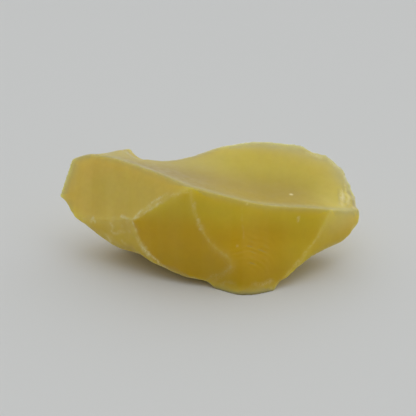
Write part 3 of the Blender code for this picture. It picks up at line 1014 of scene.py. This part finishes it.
class Nodes:
    """Short ways to add shader nodes to a material or world and join them."""

    def __init__(self, owner, shader="Principled BSDF"):
        owner.use_nodes = True
        self.tree = owner.node_tree
        self.shader = self.tree.nodes[shader]

    def add(self, kind, values=None, **settings):
        """A node with these settings. values holds its inputs, by name or number: a socket or a value."""
        node = self.tree.nodes.new(kind)
        for name, value in settings.items():
            setattr(node, name, value)
        for key, value in (values or {}).items():
            self.put(node.inputs[key], value)
        return node

    def put(self, socket, value):
        if isinstance(value, bpy.types.NodeSocket):
            self.tree.links.new(value, socket)
        else:
            socket.default_value = value

    def math(self, operation, first, second, clamp=False):
        node = self.add("ShaderNodeMath", {0: first, 1: second}, operation=operation, use_clamp=clamp)
        return node.outputs[0]

    def times(self, first, *others):
        for other in others:
            first = self.math("MULTIPLY", first, other)
        return first

    def mix(self, share, first, second, blend="MIX"):
        node = self.add("ShaderNodeMix", data_type="RGBA", blend_type=blend)
        self.put(node.inputs["Factor"], share)
        self.put(node.inputs[6], first)
        self.put(node.inputs[7], second)
        return node.outputs[2]

    def shade(self, share, color, name):
        return self.mix(share, color, SHADES[name], "MULTIPLY")

    def span(self, value, low, high, to_low=0.0, to_high=1.0):
        """The value's range from low to high, spread smoothly over another range."""
        if low > high:
            low, high, to_low, to_high = high, low, to_high, to_low
        given = {"Value": value, "From Min": low, "From Max": high, "To Min": to_low, "To Max": to_high}
        return self.add("ShaderNodeMapRange", given, interpolation_type="SMOOTHSTEP").outputs["Result"]

    def region(self, axes, name):
        axis, *limits = REGIONS[name]
        return self.span(axes[axis], *limits)

    def held(self, name):
        return self.add("ShaderNodeAttribute", attribute_name=name).outputs["Fac"]

    def noise(self, place, name):
        scale, detail, roughness, distortion = NOISES[name]
        given = {"Vector": place, "Scale": scale, "Detail": detail, "Roughness": roughness,
            "Distortion": distortion}
        return self.add("ShaderNodeTexNoise", given).outputs["Fac"]

    def shown_noise(self, place, name):
        return self.span(self.noise(place, name), *NOISE_SPANS[name])


def clear_color(nodes, settings, in_mm, axes):
    """The clear stone: honey in the thick, lemon above and right, banded left faces, milkier and with painted
    light.
    """
    cloud = nodes.times(nodes.noise(in_mm, "cloud"), STRENGTHS["cloud"])
    upper = nodes.times(nodes.region(axes, "upper part"), nodes.region(axes, "lemon to the right"))
    right = nodes.math("ADD", nodes.region(axes, "pale right"), PALE_START)
    pale = nodes.math("ADD", nodes.math("ADD", cloud, upper), right)
    color = nodes.mix(nodes.span(pale, *PALE_SPAN), tuple(settings.honey), tuple(settings.lemon))

    left = nodes.held("left")
    # The left faces are paler: partly milkier stone, partly painted light from the left.
    color = nodes.mix(nodes.times(left, nodes.region(axes, "left")), color, tuple(settings.left))
    jowl = nodes.times(left, nodes.region(axes, "jowl"), STRENGTHS["jowl"])
    color = nodes.mix(jowl, color, TINTS["jowl"])
    # Painted shade: the left faces are darker towards the floor.
    color = nodes.shade(nodes.times(left, nodes.region(axes, "under the jowl")), color, "under the jowl")

    stretched = nodes.add("ShaderNodeVectorMath", {0: in_mm, 1: BAND_STRETCH}, operation="MULTIPLY")
    bands = nodes.shown_noise(stretched.outputs[0], "bands")
    return nodes.mix(nodes.times(bands, nodes.region(axes, "bands")), color, tuple(settings.band))


def top_color(nodes, settings, color, axes, on_top):
    """The top: painted sheen where it faces up, painted shade and sheen at its left, darker behind the brow.
    """
    # Painted sheen: the faces that look up are a little paler and greyer.
    color = nodes.mix(nodes.times(on_top, STRENGTHS["top"]), color, TINTS["top"])
    # Painted shade and sheen: the left part of the top is darker and greyer.
    shaded_sheen = nodes.times(on_top, nodes.region(axes, "milky left"), STRENGTHS["top_shade_and_sheen"])
    color = nodes.mix(shaded_sheen, color, tuple(settings.top_shade_and_sheen))
    behind_brow = nodes.times(
        on_top, nodes.region(axes, "front of the top"), nodes.region(axes, "short of the right end"))
    return nodes.shade(behind_brow, color, "behind the brow")


def end_color(nodes, settings, color, axes, on_top):
    """Painted light: glow through the thin rim and ends, and a paler foot that lifts the shade at the floor.
    """
    right_end = nodes.times(nodes.region(axes, "right end"), nodes.region(axes, "above the overhang"))
    left_end = nodes.times(nodes.region(axes, "left end"), STRENGTHS["left end"])
    ends = nodes.math("MAXIMUM", right_end, left_end)
    at_rim = nodes.math("MAXIMUM", ends, nodes.region(axes, "back rim"))
    # Painted glow where light comes through the thin rim and ends.
    thin = nodes.span(nodes.held("thin"), *THIN_SPAN)
    color = nodes.mix(nodes.times(thin, at_rim), color, tuple(settings.thin))
    # Painted glow of light through the thin right end, less on top.
    beside_top = nodes.math("SUBTRACT", RIGHT_END_TINT, nodes.times(on_top, RIGHT_END_LESS))
    color = nodes.mix(nodes.times(right_end, beside_top), color, TINTS["right end"])
    # Painted light at the foot, lifting the shade where the stone meets the floor.
    foot = nodes.times(nodes.region(axes, "foot"), STRENGTHS["foot"])
    return nodes.mix(foot, color, TINTS["foot"])


def ridge_color(nodes, settings, color, on_top):
    """Painted shade on ridges and in chip creases, painted halos on front ridges and a painted reflection on
    the lip.
    """
    # Painted shade on the ridges, holding down the glow of light at the thin edges.
    color = nodes.mix(nodes.times(nodes.held("edge"), STRENGTHS["edge"]), color, tuple(settings.edge))
    # Painted shade in the creases between chips.
    color = nodes.mix(nodes.held("crease"), color, TINTS["crease"])
    # Painted highlight: a soft pale halo along the front ridges.
    color = nodes.mix(nodes.times(nodes.held("halo"), STRENGTHS["halo"]), color, TINTS["halo"])
    # Painted reflection: a paler, greyer band on the lip of the top along the brow.
    return nodes.mix(nodes.times(nodes.held("lip"), on_top, STRENGTHS["lip"]), color, TINTS["lip"])


def pale_marks(nodes, in_mm):
    """How strongly each place is marked by broken scuffs and single specks."""
    broken = nodes.shown_noise(in_mm, "scuffs")
    scuffs = nodes.times(nodes.held("wear"), broken, STRENGTHS["wear"])
    cells = nodes.add("ShaderNodeTexVoronoi", {"Vector": in_mm, "Scale": SPECK_SCALE}, feature="F1")
    speck = nodes.span(cells.outputs["Distance"], *SPECK_EDGE)
    kept = nodes.span(cells.outputs["Color"], *SPECKS_KEPT)
    return nodes.math("MAXIMUM", scuffs, nodes.times(speck, kept, STRENGTHS["specks"]))


def opal_finish(settings):
    """Waxy, faintly cloudy yellow opal: honey in the thick, lemon above, a painted glow where thin, pale
    where scuffed.
    """
    material = bpy.data.materials.new("waxy yellow opal")
    nodes = Nodes(material)
    place = nodes.add("ShaderNodeTexCoord").outputs["Object"]
    in_mm = nodes.add("ShaderNodeVectorMath", {0: place, "Scale": 1.0 / MM}, operation="SCALE").outputs[0]
    axes = nodes.add("ShaderNodeSeparateXYZ", {0: in_mm}).outputs
    facing = nodes.add("ShaderNodeNewGeometry").outputs["Normal"]
    upward = nodes.add("ShaderNodeSeparateXYZ", {0: facing}).outputs["Z"]
    on_top = nodes.span(upward, *TOP_SPAN)

    color = clear_color(nodes, settings, in_mm, axes)
    color = top_color(nodes, settings, color, axes, on_top)
    # Painted shade: the lower part, right of the jowl, is darker towards the floor.
    low = nodes.times(nodes.region(axes, "lower part"), nodes.region(axes, "right of the jowl"))
    color = nodes.shade(low, color, "low")
    color = end_color(nodes, settings, color, axes, on_top)
    # Painted light: the faces that look down glow with light come through the stone.
    downward = nodes.times(nodes.span(upward, *DOWN_SPAN), STRENGTHS["under"])
    color = nodes.mix(downward, color, tuple(settings.under))
    color = ridge_color(nodes, settings, color, on_top)
    color = nodes.shade(nodes.shown_noise(in_mm, "mottle"), color, "mottle")
    color = nodes.mix(nodes.shown_noise(in_mm, "grain"), color, tuple(settings.honey))
    pale = pale_marks(nodes, in_mm)
    # Pale flecks, partly painted glints.
    fleck_and_glint = nodes.held("fleck_and_glint")
    color = nodes.mix(pale, color, tuple(settings.scuff))
    nodes.put(nodes.shader.inputs["Base Color"], nodes.mix(fleck_and_glint, color, TINTS["fleck_and_glint"]))

    smoother, rougher = (settings.gloss_roughness + change for change in GLOSS_CHANGE)
    rough = nodes.span(nodes.noise(in_mm, "gloss"), *GLOSS_NOISE, smoother, rougher)
    rough = nodes.math("ADD", rough, nodes.times(pale, SCUFF_ROUGHNESS), clamp=True)
    nodes.put(nodes.shader.inputs["Roughness"], rough)

    fine = {"Strength": BUMP_STRENGTH, "Distance": BUMP_HEIGHT, "Height": nodes.noise(in_mm, "fine relief")}
    nodes.put(nodes.shader.inputs["Normal"], nodes.add("ShaderNodeBump", fine).outputs["Normal"])

    nodes.shader.inputs["IOR"].default_value = REFRACTION
    nodes.shader.inputs["Specular IOR Level"].default_value = SPECULAR_LEVEL
    marked = nodes.math("MAXIMUM", pale, fleck_and_glint)
    nodes.put(nodes.shader.inputs["Subsurface Weight"], nodes.span(marked, *GLOW_SPAN))
    nodes.shader.inputs["Subsurface Radius"].default_value = GLOW_COLORS
    nodes.shader.inputs["Subsurface Scale"].default_value = settings.glow_depth
    return material


def floor_finish(settings):
    """Plain matt paper with a very faint unevenness."""
    material = bpy.data.materials.new("pale matt paper")
    nodes = Nodes(material)
    place = nodes.add("ShaderNodeTexCoord").outputs["Object"]
    darker = tuple(PAPER_SHADE * part for part in settings.floor_color[:3]) + (1.0,)
    color = nodes.mix(nodes.shown_noise(place, "paper"), tuple(settings.floor_color), darker)
    nodes.put(nodes.shader.inputs["Base Color"], color)
    nodes.shader.inputs["Roughness"].default_value = PAPER_ROUGHNESS
    nodes.shader.inputs["Specular IOR Level"].default_value = PAPER_SPECULAR_LEVEL
    return material


# ---------------------------------------------------------------------------------------------------------
# The stage


def add_floor(settings):
    bpy.ops.mesh.primitive_grid_add(x_subdivisions=8, y_subdivisions=8, size=settings.floor_size)
    floor = bpy.context.active_object
    floor.name = "floor"
    floor.data.materials.append(floor_finish(settings))


def aim(thing, place, target):
    """Puts a lamp or camera at a place and turns it to a target, both in metres."""
    thing.location = place
    thing.rotation_euler = (Vector(target) - Vector(place)).to_track_quat("-Z", "Y").to_euler()


def add_softbox():
    """A wide soft lamp above the stone and a little in front of it."""
    lamp = bpy.data.lights.new("softbox_top", "AREA")
    lamp.shape = "RECTANGLE"
    lamp.size, lamp.size_y = SOFTBOX_SIZE
    lamp.energy = SOFTBOX_POWER
    softbox = bpy.data.objects.new("softbox_top", lamp)
    bpy.context.scene.collection.objects.link(softbox)
    aim(softbox, SOFTBOX_PLACE, (0.0, 0.0, 0.0))


def add_sky():
    """Soft light from all round: brightest behind and overhead, then at the right, and weakest in front."""
    world = bpy.data.worlds.new("soft room light")
    nodes = Nodes(world, "Background")
    way = nodes.add("ShaderNodeTexCoord").outputs["Generated"]
    axes = nodes.add("ShaderNodeSeparateXYZ", {0: way}).outputs
    sides = {name: nodes.span(axes[axis], *limits) for name, (axis, *limits) in SKY_SIDES.items()}
    above = nodes.math("ADD", sides["overhead"], sides["behind"])
    strength = nodes.math("ADD", above, nodes.math("ADD", sides["left"], sides["right"]))
    nodes.put(nodes.shader.inputs["Strength"], strength)
    nodes.shader.inputs["Color"].default_value = SKY_COLOR
    bpy.context.scene.world = world


def add_camera():
    camera = bpy.data.cameras.new("camera")
    camera.lens = CAMERA_LENS
    camera.sensor_width = CAMERA_SENSOR
    camera.clip_start, camera.clip_end = CAMERA_CLIP
    eye = bpy.data.objects.new("camera", camera)
    bpy.context.scene.collection.objects.link(eye)
    rise = math.radians(CAMERA_RISE)
    target = (CAMERA_TARGET - MIDDLE) * MM
    place = target + np.array([0.0, -math.cos(rise), math.sin(rise)]) * CAMERA_DISTANCE * MM
    aim(eye, place, target)
    bpy.context.scene.camera = eye


# ---------------------------------------------------------------------------------------------------------
# Operators, panel and registration


class OPAL_OT_stone(bpy.types.Operator):
    """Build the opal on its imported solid"""

    bl_idname = "opal.stone"
    bl_label = "Opal Stone"
    bl_options = {"REGISTER", "UNDO"}

    def execute(self, context):
        settings = context.scene.opal
        stone = bpy.data.objects.new("raw_opal", stone_mesh(settings))
        stone.data.name = "raw_opal"
        context.scene.collection.objects.link(stone)
        stone.data.materials.clear()
        stone.data.materials.append(opal_finish(settings))
        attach(stone, "root")
        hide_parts("opal")
        return {"FINISHED"}


class OPAL_OT_stage(bpy.types.Operator):
    """Lay a pale floor, and set up soft light and the camera"""

    bl_idname = "opal.stage"
    bl_label = "Stage"
    bl_options = {"REGISTER", "UNDO"}

    def execute(self, context):
        add_floor(context.scene.opal)
        add_sky()
        add_softbox()
        add_camera()
        context.scene.view_settings.view_transform = "Standard"
        return {"FINISHED"}


class OPAL_PT_panel(bpy.types.Panel):
    """The opal's settings and its build steps"""

    bl_idname = "OPAL_PT_panel"
    bl_label = "Raw Yellow Opal"
    bl_space_type = "VIEW_3D"
    bl_region_type = "UI"
    bl_category = "Opal"

    def draw(self, context):
        layout = self.layout
        for name in OpalSettings.__annotations__:
            layout.prop(context.scene.opal, name)
        for step in STEPS:
            layout.operator(step.bl_idname)


STEPS = (OPAL_OT_stone, OPAL_OT_stage)
CLASSES = (OpalSettings, *STEPS, OPAL_PT_panel)


def register():
    for made in CLASSES:
        bpy.utils.register_class(made)
    bpy.types.Scene.opal = bpy.props.PointerProperty(type=OpalSettings)


def unregister():
    del bpy.types.Scene.opal
    for made in reversed(CLASSES):
        bpy.utils.unregister_class(made)


def main():
    register()
    bpy.ops.opal.stone()
    bpy.ops.opal.stage()


if __name__ == "__main__":
    main()
